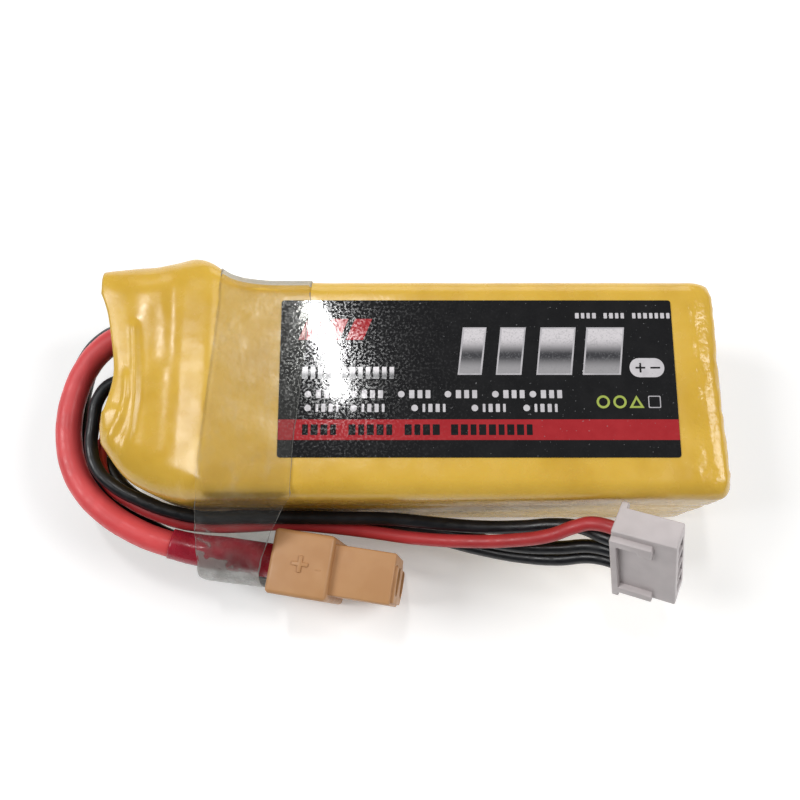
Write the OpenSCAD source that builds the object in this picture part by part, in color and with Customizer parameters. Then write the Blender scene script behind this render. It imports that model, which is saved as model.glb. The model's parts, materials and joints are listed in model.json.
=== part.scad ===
// Three-cell lithium polymer pack with a flared shrink wrap, taped leads,
// a two-pole power connector and a four-way balance plug.
// The origin is near the middle of the pack's underside, the leads leave at -X,
// the label faces +Z, and the leads lie along the -Y side.

/* [Pack] */
// Width of the wrapped pack
pack_w = 27.4; // [27.2:0.1:27.5]
// Height of the wrapped pack
pack_h = 23; // [22.8:0.1:23.2]
// Thickness of the shrink wrap
wrap_t = 0.3; // [0.2:0.05:0.35]
// X of the closed end of the wrap
closed_x = 39; // [38.8:0.1:39.3]

/* [Cells] */
// Length of a pouch cell without its tab seal
cell_l = 60; // [58:0.5:60]
// Width of a pouch cell
cell_w = 26.2; // [25:0.1:26.3]
// Thickness of a pouch cell
cell_t = 7.25; // [7:0.05:7.25]
// Thickness of the foil laminate of a pouch
foil_t = 0.15; // [0.1:0.05:0.3]
// Width of a cell tab
tab_w = 4.6; // [3:0.1:4.8]
// Distance from the lengthwise axis to each tab
tab_y = 5; // [4.5:0.1:5.2]

/* [Label and tape] */
// Length of the label
label_l = 47.8; // [44:0.1:50]
// Width of the label
label_w = 19.6; // [18:0.1:20.5]
// Thickness of the label
label_t = 0.12; // [0.08:0.01:0.12]
// Thickness of the clear tape
tape_t = 0.1; // [0.06:0.01:0.1]

/* [Leads] */
// Diameter of a discharge lead
lead_d = 3.3; // [3:0.1:3.3]
// Diameter of a balance wire
wire_d = 1.7; // [1.3:0.1:1.7]
// Outer diameter of a heat-shrink sleeve
sleeve_d = 4.4; // [4.2:0.1:4.4]
// Inner diameter of a heat-shrink sleeve
sleeve_bore = 3.8; // [3.7:0.1:3.8]

/* [Power connector] */
// Width of the connector, across the two poles
conn_w = 16; // [15.6:0.1:16]
// Thickness of the connector
conn_t = 8; // [7.6:0.1:8]
// Length of the rear block
conn_block_l = 7.7; // [7:0.1:8]
// Length of the nose
conn_nose_l = 7.7; // [7:0.1:8]
// Width of the nose
nose_w = 13.6; // [13:0.1:14]
// Thickness of the nose
nose_t = 6.3; // [6:0.1:6.6]
// Distance between the two poles
pole_pitch = 7.2; // [7:0.1:7.4]
// Bore of each socket
socket_bore = 3.5; // [3.4:0.05:3.6]

/* [Balance plug] */
// Width of the plug, along its row of contacts
plug_w = 12.4; // [12:0.1:12.6]
// Thickness of the plug's body
plug_t = 3.7; // [3.4:0.1:3.9]
// Length of the plug
plug_l = 7.6; // [7:0.1:8.2]
// Pitch of the contacts
pin_pitch = 2.5; // [2.5:0.1:2.5]

/* [Hidden] */
$fn = 48;
slack = 0.02;                       // gap kept between pieces that lie on each other

groove = tape_t + slack;            // depth of the tape's groove in the underside

// Cell stack
bind_t = 0.08;
pad_t = 0.17;
cell_x = 37.2 - cell_l;             // tab end of the pouches
cell_r = 1.6;
seal_l = 3;
seal_t = 0.6;
tab_t = 0.2;
pad_x = 2;
stack_z = groove + wrap_t + bind_t;  // underside of the bottom cell
function cell_z(k) = stack_z + cell_t / 2 + k * (cell_t + pad_t);

// Board at the tab end
card_x = -27.3;
card_t = 0.25;
board_x = -28.4;                    // face that the wires leave
board_t = 0.8;
board_y = [-10.5, 12.8];
board_z = [2.4, 20.6];
slot = [tab_w + 0.4, tab_t + 0.4];
tab_end = board_x - 0.6;
dome_l = 1.2;                       // solder under a discharge lead
wire_dome_l = 0.8;                  // solder under a balance wire

// Shrink wrap: x, front y, back y, bottom z, top z, corner radius, share of the wall taken along X
front_y = -13.2;
back_y = front_y + pack_w;
mid_y = (front_y + back_y) / 2;
WRAP = [
    [-36.8, -4.8, 15.6, 1.6, pack_h - 0.4, 4.0, 0],
    [-35.6, -7.0, 16.2, 1.2, pack_h, 4.5, 0],
    [-33.4, -10.2, 16.8, 0.7, pack_h + 0.1, 5.0, 0],
    [-31.0, -11.8, 17.3, 0.3, pack_h - 0.2, 5.0, 0],
    [-28.6, -12.7, 18.1, 0.1, pack_h - 0.7, 5.0, 0],
    [-26.8, -13.1, 18.4, 0, pack_h - 0.7, 4.5, 0],
    [-26.0, front_y, 18.2, groove, pack_h - 0.5, 4.0, 0],
    [-24.8, front_y, 17.7, groove, pack_h - 0.2, 3.4, 0],
    [-23.6, front_y, 16.9, groove, pack_h, 2.6, 0],
    [-22.6, front_y, 16.1, groove, pack_h, 2, 0],
    [-21.0, front_y, 15.1, groove, pack_h, 2, 0],
    [-18.8, front_y, 14.5, groove, pack_h, 2, 0],
    [-15.0, front_y, back_y, groove, pack_h, 2, 0],
    [-10.6, front_y, back_y, groove, pack_h, 2, 0],
    [-10.2, front_y, back_y, 0, pack_h, 2.2, 0],
    [closed_x - 2.0, front_y, back_y, 0, pack_h, 2.2, 0],
    [closed_x - 0.9, front_y + 0.25, back_y - 0.25, 0.25, pack_h - 0.25, 2.2, 0.3],
    [closed_x - 0.2, front_y + 0.9, back_y - 0.9, 0.9, pack_h - 0.9, 2.0, 0.7],
    [closed_x, front_y + 1.9, back_y - 1.9, 1.9, pack_h - 1.9, 1.6, 1],
    [closed_x, front_y + 4.6, back_y - 4.6, 4.6, pack_h - 4.6, 1.2, 1],
];

// Power connector and balance plug: place, then turns about Z, Y and X
conn_at = [-15.5, -19.9, 8.0];
conn_yaw = -9;
conn_pitch = 4;
plug_at = [26.3, -18.5, 17.6];
plug_yaw = -19;
plug_pitch = 22;
plug_roll = -23;
cup_l = 3.5;
contact_wall = 0.4;
barrel_d = socket_bore + 2 * contact_wall;
cup_d = 3.5;
cup_bore = 3;
socket_l = 8;
mouth_recess = 0.8;
cavity = 2;

// Colours of the leads and wires
red = [0.68, 0.14, 0.17];
black = [0.06, 0.06, 0.07];

// Routes of the leads and wires
LEAD_POSITIVE = [
    [-29.6, 9.4, 12.9], [-32.2, 9.4, 12.9], [-35, 9.8, 12.8], [-37.6, 9.5, 12.7],
    [-39.9, 7.9, 12.6], [-41.8, 5.2, 12.5], [-42.9, 2.2, 12.4], [-43.4, -1.2, 12.4],
    [-43.2, -4.6, 12.4], [-42.3, -7.9, 12.4], [-40.6, -10.8, 12.4], [-38, -13.4, 12.4],
    [-34.6, -15.6, 12.3], [-30.6, -17.3, 12.1], [-26.2, -18.3, 11.6], [-22.6, -18.8, 11.1],
    [-19.3, -19.3, 11.3],
];
LEAD_NEGATIVE = [
    [-29.6, 10.6, 8.4], [-32.2, 10.6, 8.4], [-35, 11.2, 8.5], [-38, 11.4, 8.7],
    [-40.8, 10, 8.7], [-42.8, 7.2, 8.7], [-43.7, 3.8, 8.7], [-43.9, 0.2, 8.7],
    [-43.5, -3.4, 8.7], [-42.4, -7, 8.7], [-40.5, -10.2, 8.6], [-37.8, -12.9, 8.4],
    [-34.4, -15.1, 7.8], [-30.6, -17, 6.6], [-26.2, -18.2, 5], [-22.6, -18.8, 3.9],
    [-18.8, -19.4, 4.15],
];
SLEEVE_POSITIVE = [[-29.2, -17.6, 12], [-26.2, -18.3, 11.6], [-22.6, -18.8, 11.1], [-19.2, -19.3, 11.35],
    [-15.95, -19.8, 11.6]];
SLEEVE_NEGATIVE = [[-29.2, -17.4, 6.15], [-26.2, -18.2, 5], [-22.6, -18.8, 3.9], [-18.8, -19.4, 4.15],
    [-15.5, -19.9, 4.4]];
WIRE_POSITIVE = [
    [-29.2, -1, 11.8], [-32, -1, 11.8], [-35, -1.4, 11.8], [-37.6, -2.8, 11.8],
    [-39.1, -5.2, 11.7], [-39, -8, 11.6], [-37.6, -10.3, 11.5], [-35, -12.2, 11.3],
    [-31.6, -13.8, 11.2], [-28, -14.9, 11], [-24, -15.3, 10.8], [-20, -15.2, 10.4],
    [-15, -14.9, 10], [-10, -15.2, 9.6], [-4, -15.9, 9.6], [2, -16.8, 10.4],
    [8, -17.3, 12], [14, -17.4, 14.6], [18.4, -17, 17.2], [21.2, -16.1, 18.9],
    [23, -15.8, 19.7], [27.3, -17.3, 21.55],
];
WIRE_TAP_2 = [
    [-29.2, 2, 14.2], [-32, 2, 14.2], [-35, 3.1, 14.1], [-37.6, 3, 14],
    [-39.3, 0.9, 14], [-39.7, -2.4, 14], [-39.7, -5.6, 14], [-38.7, -8.4, 13.9],
    [-36.6, -10.4, 13.8], [-33.2, -12.2, 13.6], [-29.4, -13.6, 13.4], [-25.2, -14.4, 13.2],
    [-20, -14.3, 12.9], [-13.5, -14.3, 12.2], [-7, -14.3, 11.6], [-1, -14.4, 11.2],
    [5, -15, 11.3], [10.5, -15.5, 12.1], [15.5, -15.6, 13.4], [19.4, -15.5, 15],
    [22.4, -16, 16.5], [24.6, -17.2, 17.95], [27.8, -18.5, 19.4],
];
WIRE_TAP_1 = [
    [-29.2, 2, 9.8], [-32, 2, 9.8], [-35, 2.8, 9.8], [-37.4, 2.4, 9.8],
    [-39, 0.2, 9.8], [-39.3, -2.8, 9.8], [-39.1, -5.8, 9.7], [-37.9, -8.5, 9.6],
    [-35.7, -10.7, 9.4], [-32.4, -12.4, 9.2], [-28.6, -13.9, 9], [-24.6, -14.3, 8.8],
    [-20, -14.2, 8.4], [-13.5, -14.2, 7.8], [-7, -14.3, 7.4], [-1, -14.7, 7.4],
    [5, -15.6, 8], [10.5, -16.9, 9.4], [15.5, -17.9, 11.2], [20, -18.2, 13.4],
    [23.9, -18.2, 15.4], [28.3, -19.7, 17.3],
];
WIRE_NEGATIVE = [
    [-29.2, -1, 7.8], [-32, -1, 7.8], [-35, -1.6, 7.8], [-37.4, -3.2, 7.7],
    [-38.7, -5.8, 7.6], [-38, -8.5, 7.5], [-36, -10.6, 7.3], [-33, -12.3, 7],
    [-29.4, -13.7, 6.6], [-25, -14.4, 6], [-20, -14.4, 5.4], [-13.5, -14.3, 4.6],
    [-7, -14.5, 4.2], [-1, -15.2, 4.4], [5, -16.4, 5.2], [10.5, -17.9, 6.8],
    [15.5, -19, 8.8], [20, -19.5, 11], [24.4, -19.4, 13.3], [28.8, -20.9, 15.15],
];

// ---- Shapes used by several pieces ----

// Corner points of a rounded rectangle in Y and Z, as a ring at one X
function ring(x, y0, y1, z0, z1, r, n = 6) = [
    for (c = [[y1 - r, z1 - r, 0], [y0 + r, z1 - r, 90], [y0 + r, z0 + r, 180], [y1 - r, z0 + r, 270]])
        for (i = [0:n])
            [x, c[0] + r * cos(c[2] + 90 * i / n), c[1] + r * sin(c[2] + 90 * i / n)]
];

function outer_ring(s) = ring(s[0], s[1], s[2], s[3], s[4], s[5]);
function inner_ring(s) =
    let (along = s[6] * wrap_t, across = (1 - s[6]) * wrap_t)
    ring(s[0] - along, s[1] + across, s[2] - across, s[3] + across, s[4] - across, max(s[5] - across, 0.5));

// Quads between ring a and ring b, each of n points starting at those indices
function band(a, b, n, flip = false) = [
    for (i = [0:n - 1])
        let (j = (i + 1) % n)
        flip ? [a + i, b + i, b + j, a + j] : [a + i, a + j, b + j, b + i]
];

function flatten(lists) = [for (list = lists) for (item = list) item];

// Sleeve between an outer and an inner skin, each a list of rings from one end to the other
module sleeve(outer, inner) {
    n = len(outer[0]);
    m = len(outer);
    inner_start = n * m;
    points = concat(flatten(outer), flatten(inner));
    sides = flatten([for (k = [0:m - 2]) concat(
        band(k * n, (k + 1) * n, n, true),
        band(inner_start + k * n, inner_start + (k + 1) * n, n))]);
    ends = concat(
        band(0, inner_start, n),
        band((m - 1) * n, inner_start + (m - 1) * n, n, true));
    polyhedron(points, concat(sides, ends), convexity = 8);
}

// Ring of points square to a route at its point i
function unit(v) = v / norm(v);
function route_ring(route, i, r, sides) =
    let (
        along = unit(route[min(i + 1, len(route) - 1)] - route[max(i - 1, 0)]),
        across = unit(cross(along, [0, 0, 1])),
        up = cross(across, along)
    )
    [for (k = [0:sides - 1]) let (a = 360 * (k + 0.5) / sides) route[i] + r * (cos(a) * across + sin(a) * up)];
function route_rings(route, r, sides) = [for (i = [0:len(route) - 1]) route_ring(route, i, r, sides)];

// Solid round cord along a route
module cord(route, d, sides = 8) {
    rings = route_rings(route, d / 2, sides);
    last = (len(route) - 1) * sides;
    polyhedron(flatten(rings), concat(
        [[for (k = [0:sides - 1]) k]],
        [[for (k = [sides - 1:-1:0]) last + k]],
        flatten([for (i = [0:len(route) - 2]) band(i * sides, (i + 1) * sides, sides, true)])),
        convexity = 8);
}

// Box with its four long edges rounded, along X
module rounded_bar(x0, x1, w, h, r) {
    translate([x0, 0, 0])
        rotate([90, 0, 90])
            linear_extrude(x1 - x0)
                rounded_rectangle(w, h, r);
}

module rounded_rectangle(w, h, r) {
    square([w - 2 * r, h], center = true);
    square([w, h - 2 * r], center = true);
    for (x = [-1, 1], y = [-1, 1])
        translate([x * (w / 2 - r), y * (h / 2 - r)])
            circle(r);
}

// Box from its low corner to its high corner
module box(low, high) {
    translate(low)
        cube(high - low);
}

// ---- Wrap, label and tape ----

module shrink_wrap() {
    color([0.86, 0.70, 0.33])
        sleeve([for (s = WRAP) outer_ring(s)], [for (s = WRAP) inner_ring(s)]);
}

module label() {
    color([0.06, 0.06, 0.07])
        translate([9.35, 1.4, pack_h])
            linear_extrude(label_t)
                rounded_rectangle(label_l, label_w, 0.4);
}

// Loop of the tape at one edge: x, y and z, pushed out by `out`.
// back is the y of the wrap's far side there, and y_out how far the loop reaches over the leads.
function tape_loop(xs, back, y_out, out) =
    let (
        side = back + slack + out,
        top = pack_h + label_t + slack + out,
        low = tape_t - out,
        turn = 0.7 * out,
        bevel = 1.15
    ) [
        [xs[0], 0, low],
        [xs[0], back - 1.2, low],
        [xs[0], side, bevel],
        [xs[0], side, pack_h - bevel],
        [xs[0], back - 1.2, pack_h + slack + out],
        [xs[0], 11.4, top],
        [(xs[0] + xs[1]) / 2, 0, top],
        [xs[1], -11.6, top],
        [xs[1], -12.8 - turn, pack_h - 0.4 + turn],
        [xs[1] * 0.5 + xs[2] * 0.5, (y_out - 12.2) / 2 - turn, 18.6 + turn],
        [xs[2], y_out + 1.1 - turn, 13.6 + turn],
        [xs[2], y_out + 0.1 - out, 12.6],
        [xs[2], y_out - out, 10.8],
        [xs[2], y_out - out, 4.6],
        [xs[2], y_out + 0.5 - turn, 2.6 - turn],
        [xs[2], y_out + 1.8 - turn, 1.6 - turn],
        [xs[3], -12.8 - turn, 0.4 - turn],
        [xs[3], -11.6, low],
    ];

module clear_tape() {
    left = [-22.3, -23.9, -25.4, -24.2];
    right = [-11.0, -12.9, -17.6, -13.4];
    flare_y = 16.0;
    color([0.9, 0.9, 0.85, 0.4])
        sleeve(
            [tape_loop(left, flare_y, -21.3, tape_t), tape_loop(right, back_y, -22.2, tape_t)],
            [tape_loop(left, flare_y, -21.3, 0), tape_loop(right, back_y, -22.2, 0)]);
}

// ---- Cells ----

module cell_pouch(k) {
    color([0.72, 0.73, 0.75])
        translate([0, mid_y, cell_z(k)])
            difference() {
                union() {
                    rounded_bar(cell_x, cell_x + cell_l, cell_w, cell_t, cell_r);
                    box([cell_x - seal_l, 1 - cell_w / 2, -seal_t / 2], [cell_x, cell_w / 2 - 1, seal_t / 2]);
                }
                rounded_bar(cell_x + foil_t, cell_x + cell_l - foil_t,
                    cell_w - 2 * foil_t, cell_t - 2 * foil_t, cell_r - foil_t);
                for (side = [-1, 1])
                    translate([0, side * tab_y - mid_y, 0])
                        box([cell_x - seal_l - 1, -tab_w / 2, -tab_t / 2], [cell_x + 1, tab_w / 2, tab_t / 2]);
            }
}

module cell_electrode_stack(k) {
    color([0.25, 0.25, 0.27])
        translate([0, mid_y, cell_z(k)])
            rounded_bar(cell_x + foil_t + 0.3, cell_x + cell_l - foil_t - slack,
                cell_w - 2 * foil_t - 2 * slack, cell_t - 2 * foil_t - 2 * slack, cell_r - foil_t);
}

// The cells face each other pole to pole, so the middle one is turned over
function positive_side(k) = k == 1 ? 1 : -1;

module cell_tab(k, side) {
    color(side == positive_side(k) ? [0.80, 0.81, 0.83] : [0.68, 0.66, 0.62])
        translate([0, side * tab_y, cell_z(k)])
            box([tab_end, -tab_w / 2, -tab_t / 2], [cell_x + foil_t + 0.3, tab_w / 2, tab_t / 2]);
}

// Adhesive sheet on top of cell k
module adhesive_pad(k) {
    color([0.85, 0.85, 0.80])
        translate([0, mid_y, cell_z(k) + cell_t / 2])
            box([cell_x + pad_x, 4 - cell_w / 2, 0], [cell_x + cell_l - pad_x, cell_w / 2 - 4, pad_t]);
}

// Polyimide tape round all three cells, just behind their tab seals
module cell_binding_tape() {
    stack_h = 3 * cell_t + 2 * pad_t;
    color([0.80, 0.50, 0.12])
        translate([0, mid_y, stack_z + stack_h / 2])
            difference() {
                rounded_bar(cell_x + 1, cell_x + 9, cell_w + 2 * bind_t, stack_h + 2 * bind_t, cell_r + bind_t);
                rounded_bar(cell_x, cell_x + 10, cell_w, stack_h, cell_r);
            }
}

// ---- Tab end ----

module tab_slots(x0, x1) {
    for (k = [0:2], side = [-1, 1])
        translate([0, side * tab_y, cell_z(k)])
            box([x0, -slot[0] / 2, -slot[1] / 2], [x1, slot[0] / 2, slot[1] / 2]);
}

module insulation_card() {
    color([0.80, 0.78, 0.66])
        difference() {
            box([card_x, -11, 2.4], [card_x + card_t, 12, 20.6]);
            tab_slots(card_x - 1, card_x + 1);
        }
}

module tab_board() {
    color([0.10, 0.35, 0.16])
        difference() {
            box([board_x, board_y[0], board_z[0]], [board_x + board_t, board_y[1], board_z[1]]);
            tab_slots(board_x - 1, board_x + 1);
        }
}

// Solder on both sides of each tab, on the board's outer face
module tab_solder_joints() {
    color([0.75, 0.76, 0.78])
        for (k = [0:2], side = [-1, 1])
            translate([board_x, side * tab_y, cell_z(k)])
                difference() {
                    translate([-0.5, 0, 0])
                        rounded_bar(0, 0.5, tab_w + 0.8, 1.6, 0.6);
                    box([-1, -tab_w / 2, -tab_t / 2], [1, tab_w / 2, tab_t / 2]);
                }
}

// Domes of solder that join the six wires to the board
module wire_solder_joints() {
    color([0.75, 0.76, 0.78]) {
        for (start = [LEAD_POSITIVE[0], LEAD_NEGATIVE[0]])
            translate(start)
                rotate([0, 90, 0])
                    cylinder(h = dome_l, d1 = lead_d - 0.6, d2 = lead_d + 0.2);
        for (start = [WIRE_POSITIVE[0], WIRE_TAP_2[0], WIRE_TAP_1[0], WIRE_NEGATIVE[0]])
            translate(start)
                rotate([0, 90, 0])
                    cylinder(h = wire_dome_l, d1 = wire_d - 0.4, d2 = wire_d);
    }
}

module end_pad() {
    color([0.22, 0.22, 0.24])
        translate([0, mid_y, pack_h / 2])
            rounded_bar(cell_x + cell_l + slack, closed_x - wrap_t - slack, pack_w - 4.4, pack_h - 4.4, 1.2);
}

// ---- Power connector ----

module at_connector() {
    translate(conn_at)
        rotate([0, 0, conn_yaw])
            rotate([0, -conn_pitch, 0])
                children();
}

// Outline of the nose: square at the positive side, chamfered at the negative side
module nose_outline() {
    chamfer = 1.8;
    w = nose_w / 2;
    t = nose_t / 2;
    polygon([[t, w], [-t, w], [-t, chamfer - w], [chamfer - t, -w], [t - chamfer, -w], [t, chamfer - w]]);
}

module plus_mark(size, stroke, depth) {
    linear_extrude(depth) {
        square([size, stroke], center = true);
        square([stroke, size], center = true);
    }
}

module power_connector_housing() {
    conn_l = conn_block_l + conn_nose_l;
    color([0.78, 0.58, 0.40])
        at_connector()
            difference() {
                union() {
                    rounded_bar(0, conn_block_l, conn_t, conn_w, 0.6);
                    translate([conn_block_l, 0, 0])
                        rotate([90, 0, 90])
                            linear_extrude(conn_nose_l)
                                nose_outline();
                    translate([conn_block_l / 2, 0, conn_w / 2])
                        plus_mark(2.1, 0.5, 0.2);
                }
                for (side = [-1, 1])
                    translate([0, 0, side * pole_pitch / 2])
                        rotate([0, 90, 0]) {
                            translate([0, 0, -1])
                                cylinder(h = conn_l - mouth_recess + 1, d = barrel_d + 2 * slack);
                            cylinder(h = conn_l + 1, d = socket_bore + 0.4);
                        }
            }
}

// Socket barrel with its solder cup behind it
module power_contact(side) {
    conn_l = conn_block_l + conn_nose_l;
    color([0.85, 0.66, 0.28])
        at_connector()
            translate([0, 0, side * pole_pitch / 2])
                rotate([0, 90, 0])
                    difference() {
                        union() {
                            cylinder(h = conn_l - mouth_recess, d = barrel_d);
                            translate([0, 0, -cup_l])
                                cylinder(h = cup_l, d = cup_d);
                        }
                        translate([0, 0, conn_l - mouth_recess - socket_l])
                            cylinder(h = socket_l + 1, d = socket_bore);
                        translate([0, 0, -cup_l - 1])
                            cylinder(h = cup_l + 1, d = cup_bore);
                    }
}

module cup_solder_joints() {
    color([0.75, 0.76, 0.78])
        at_connector()
            for (side = [-1, 1])
                translate([0, 0, side * pole_pitch / 2])
                    rotate([0, 90, 0])
                        translate([0, 0, 0.1 - cup_l])
                            cylinder(h = cup_l - 0.1, d = cup_bore);
}

// ---- Leads and wires ----

module discharge_lead(route, tint) {
    color(tint)
        cord(route, lead_d);
}

module balance_wire(route, tint) {
    color(tint)
        cord(route, wire_d);
}

module heat_shrink(route, tint) {
    color(tint)
        sleeve(route_rings(route, sleeve_d / 2, 12), route_rings(route, sleeve_bore / 2, 12));
}

// ---- Balance plug ----

module at_plug() {
    translate(plug_at)
        rotate([0, 0, plug_yaw])
            rotate([0, -plug_pitch, 0])
                rotate([plug_roll, 0, 0])
                    children();
}

function pin_z(k) = (2.5 - k) * pin_pitch;

module balance_plug_housing() {
    flange_t = 0.8;
    rib_h = 0.8;
    rib_w = 1.2;
    ear = 1.1;
    color([0.86, 0.85, 0.84])
        at_plug()
            difference() {
                union() {
                    box([0, -plug_t / 2, -plug_w / 2], [plug_l, plug_t / 2, plug_w / 2]);
                    // Flange at the wire end, with an ear at the back of its top and a foot below
                    box([0, -plug_t / 2 - rib_h, -plug_w / 2 - 0.5], [flange_t, plug_t / 2, plug_w / 2 - 0.9]);
                    box([0, plug_t / 2 - 0.1, plug_w / 2 - 2.2], [flange_t, plug_t / 2 + ear, plug_w / 2]);
                    // Two guide ribs
                    for (z = [-plug_w / 2 + 0.3, plug_w / 2 - 0.9 - rib_w])
                        box([0, -plug_t / 2 - rib_h, z], [plug_l * 0.65, -plug_t / 2, z + rib_w]);
                }
                for (k = [1:4])
                    translate([0, 0, pin_z(k)])
                        box([-1, -cavity / 2, -cavity / 2], [plug_l + 1, cavity / 2, cavity / 2]);
            }
}

// Box-shaped crimp socket for a square pin
module balance_contact(k) {
    outer = 1.8;
    inner = 0.9;
    color([0.80, 0.80, 0.82])
        at_plug()
            translate([0, 0, pin_z(k)])
                difference() {
                    box([2.1, -outer / 2, -outer / 2], [plug_l - 0.5, outer / 2, outer / 2]);
                    box([2.6, -inner / 2, -inner / 2], [plug_l, inner / 2, inner / 2]);
                }
}

// ---- Nodes ----

shrink_wrap();
label();
clear_tape();
cell_pouch(0);  // cell_bottom_pouch
cell_pouch(1);  // cell_middle_pouch
cell_pouch(2);  // cell_top_pouch
cell_electrode_stack(0);  // cell_bottom_electrode_stack
cell_electrode_stack(1);  // cell_middle_electrode_stack
cell_electrode_stack(2);  // cell_top_electrode_stack
cell_tab(0, positive_side(0));  // cell_bottom_tab_positive
cell_tab(1, positive_side(1));  // cell_middle_tab_positive
cell_tab(2, positive_side(2));  // cell_top_tab_positive
cell_tab(0, -positive_side(0));  // cell_bottom_tab_negative
cell_tab(1, -positive_side(1));  // cell_middle_tab_negative
cell_tab(2, -positive_side(2));  // cell_top_tab_negative
adhesive_pad(0);  // adhesive_pad_lower
adhesive_pad(1);  // adhesive_pad_upper
cell_binding_tape();
insulation_card();
tab_board();
tab_solder_joints();
wire_solder_joints();
end_pad();
discharge_lead(LEAD_POSITIVE, red);  // discharge_lead_positive
discharge_lead(LEAD_NEGATIVE, black);  // discharge_lead_negative
heat_shrink(SLEEVE_POSITIVE, red);  // heat_shrink_positive
heat_shrink(SLEEVE_NEGATIVE, black);  // heat_shrink_negative
balance_wire(WIRE_POSITIVE, red);  // balance_wire_positive
balance_wire(WIRE_TAP_2, black);  // balance_wire_tap_2
balance_wire(WIRE_TAP_1, black);  // balance_wire_tap_1
balance_wire(WIRE_NEGATIVE, black);  // balance_wire_negative
power_connector_housing();
power_contact(1);  // power_contact_positive
power_contact(-1);  // power_contact_negative
cup_solder_joints();
balance_plug_housing();
balance_contact(1);  // balance_contact_1
balance_contact(2);  // balance_contact_2
balance_contact(3);  // balance_contact_3
balance_contact(4);  // balance_contact_4
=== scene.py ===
"""Looks of a three-cell lithium polymer pack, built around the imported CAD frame.

The pack lies on its back with the label up: +X runs from the lead end to the closed end,
the leads lie along the -Y side, and +Z is up. Lengths here are millimetres, and MM turns
them into the frame's metres.
"""

import json
import math

import bmesh
import bpy
from mathutils import Matrix, Vector, noise


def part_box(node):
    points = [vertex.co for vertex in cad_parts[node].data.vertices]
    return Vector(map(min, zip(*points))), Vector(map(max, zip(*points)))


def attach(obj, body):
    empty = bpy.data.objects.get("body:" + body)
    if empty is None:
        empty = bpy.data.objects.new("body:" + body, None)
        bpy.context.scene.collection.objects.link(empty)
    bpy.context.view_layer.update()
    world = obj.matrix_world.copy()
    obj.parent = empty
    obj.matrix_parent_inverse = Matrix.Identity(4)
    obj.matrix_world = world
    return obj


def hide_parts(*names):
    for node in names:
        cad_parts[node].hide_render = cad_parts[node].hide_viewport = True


MM = 0.001
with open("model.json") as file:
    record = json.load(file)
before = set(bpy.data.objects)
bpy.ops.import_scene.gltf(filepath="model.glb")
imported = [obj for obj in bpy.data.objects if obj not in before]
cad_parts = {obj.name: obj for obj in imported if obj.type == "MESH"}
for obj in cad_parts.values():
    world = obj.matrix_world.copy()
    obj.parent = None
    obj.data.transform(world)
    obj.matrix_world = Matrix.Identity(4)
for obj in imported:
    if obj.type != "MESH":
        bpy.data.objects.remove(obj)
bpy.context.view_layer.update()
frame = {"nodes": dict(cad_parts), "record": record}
mounts = {mount["name"]: mount for mount in frame["record"]["mounts"]}


def box_mm(node):
    """Lowest and highest corners of a CAD node, in millimetres."""
    low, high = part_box(node)
    return low / MM, high / MM


# ---- Driving dimensions, from the frame ----

wrap_low, wrap_high = box_mm("shrink_wrap")
label_low, label_high = box_mm("label")
FRONT_Y = wrap_low.y
BACK_Y = label_high.y + 3.0
BODY_TOP = label_low.z
CLOSED_X = wrap_high.x
LABEL_W = label_high.x - label_low.x
LABEL_H = label_high.y - label_low.y

LEAD_D = 3.3
WIRE_D = 1.7

# Routes of the leads and wires, as in the CAD source, from the board to the connector
LEAD_POSITIVE = [
    (-29.6, 9.4, 12.9), (-32.2, 9.4, 12.9), (-35, 9.8, 12.8), (-37.6, 9.5, 12.7),
    (-39.9, 7.9, 12.6), (-41.8, 5.2, 12.5), (-42.9, 2.2, 12.4), (-43.4, -1.2, 12.4),
    (-43.2, -4.6, 12.4), (-42.3, -7.9, 12.4), (-40.6, -10.8, 12.4), (-38, -13.4, 12.4),
    (-34.6, -15.6, 12.3), (-30.6, -17.3, 12.1), (-26.2, -18.3, 11.6), (-22.6, -18.8, 11.1),
    (-19.3, -19.3, 11.3),
]
LEAD_NEGATIVE = [
    (-29.6, 10.6, 8.4), (-32.2, 10.6, 8.4), (-35, 11.2, 8.5), (-38, 11.4, 8.7),
    (-40.8, 10, 8.7), (-42.8, 7.2, 8.7), (-43.7, 3.8, 8.7), (-43.9, 0.2, 8.7),
    (-43.5, -3.4, 8.7), (-42.4, -7, 8.7), (-40.5, -10.2, 8.6), (-37.8, -12.9, 8.4),
    (-34.4, -15.1, 7.8), (-30.6, -17, 6.6), (-26.2, -18.2, 5), (-22.6, -18.8, 3.9),
    (-18.8, -19.4, 4.15),
]
SLEEVE_POSITIVE = [
    (-29.2, -17.6, 12), (-26.2, -18.3, 11.6), (-22.6, -18.8, 11.1), (-19.2, -19.3, 11.35),
    (-15.95, -19.8, 11.6),
]
SLEEVE_NEGATIVE = [
    (-29.2, -17.4, 6.15), (-26.2, -18.2, 5), (-22.6, -18.8, 3.9), (-18.8, -19.4, 4.15),
    (-15.5, -19.9, 4.4),
]
WIRE_POSITIVE = [
    (-29.2, -1, 11.8), (-32, -1, 11.8), (-35, -1.4, 11.8), (-37.6, -2.8, 11.8),
    (-39.1, -5.2, 11.7), (-39, -8, 11.6), (-37.6, -10.3, 11.5), (-35, -12.2, 11.3),
    (-31.6, -13.8, 11.2), (-28, -14.9, 11), (-24, -15.3, 10.8), (-20, -15.2, 10.4),
    (-15, -14.9, 10), (-10, -15.2, 9.6), (-4, -15.9, 9.6), (2, -16.8, 10.4),
    (8, -17.3, 12), (14, -17.4, 14.6), (18.4, -17, 17.2), (21.2, -16.1, 18.9),
    (23, -15.8, 19.7), (27.3, -17.3, 21.55),
]
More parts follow.
